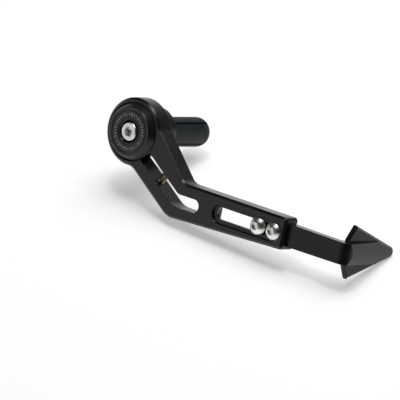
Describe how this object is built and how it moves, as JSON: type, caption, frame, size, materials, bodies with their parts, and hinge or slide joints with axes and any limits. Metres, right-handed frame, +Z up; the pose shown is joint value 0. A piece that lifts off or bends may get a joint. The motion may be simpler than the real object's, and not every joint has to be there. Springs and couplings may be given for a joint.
{
  "type": "bar-end brake lever guard",
  "caption": "Bar-end brake lever guard: a split-clamp arm with a bent neck carries a sliding strap that turns inward into an arrow-shaped tip, on an expanding bar-end anchor.",
  "frame": {"origin": "on the handlebar's axis, in the flange face that the end of the bar seats on", "axes": "+X runs forward along the arm from the bar towards the tip, +Y inward along the handlebar with the plug, +Z up in use, square to the level run of the arm"},
  "size_m": [0.1734, 0.0621, 0.0601],
  "materials": {
    "arm_black": "satin black anodised",
    "tip_black": "satin black anodised",
    "cap_black": "turned, black anodised",
    "plug_rubber": "matte",
    "nut_steel": "turned",
    "stainless": "bright stainless",
    "pinch_steel": "oiled steel"
  },
  "bodies": {
    "bar_anchor": {"end_cap": "cap_black", "hub": "cap_black", "expander_plug": "plug_rubber", "cone_nut": "nut_steel", "centre_bolt": "stainless"},
    "guard_arm": {"arm": "arm_black", "pinch_screw": "pinch_steel"},
    "sliding_tip": {"tip": "tip_black", "slide_bolt_rear": "stainless", "slide_bolt_front": "stainless"}
  },
  "joints": [
    {"name": "arm_swivel", "type": "hinge", "parent": "bar_anchor", "child": "guard_arm", "pos_m": [0, -0.0158, 0], "axis": [0, 1, 0], "continuous": true},
    {"name": "tip_slide", "type": "slide", "parent": "guard_arm", "child": "sliding_tip", "axis": [1, 0, 0], "range_m": [-0.0255, 0]}
  ]
}
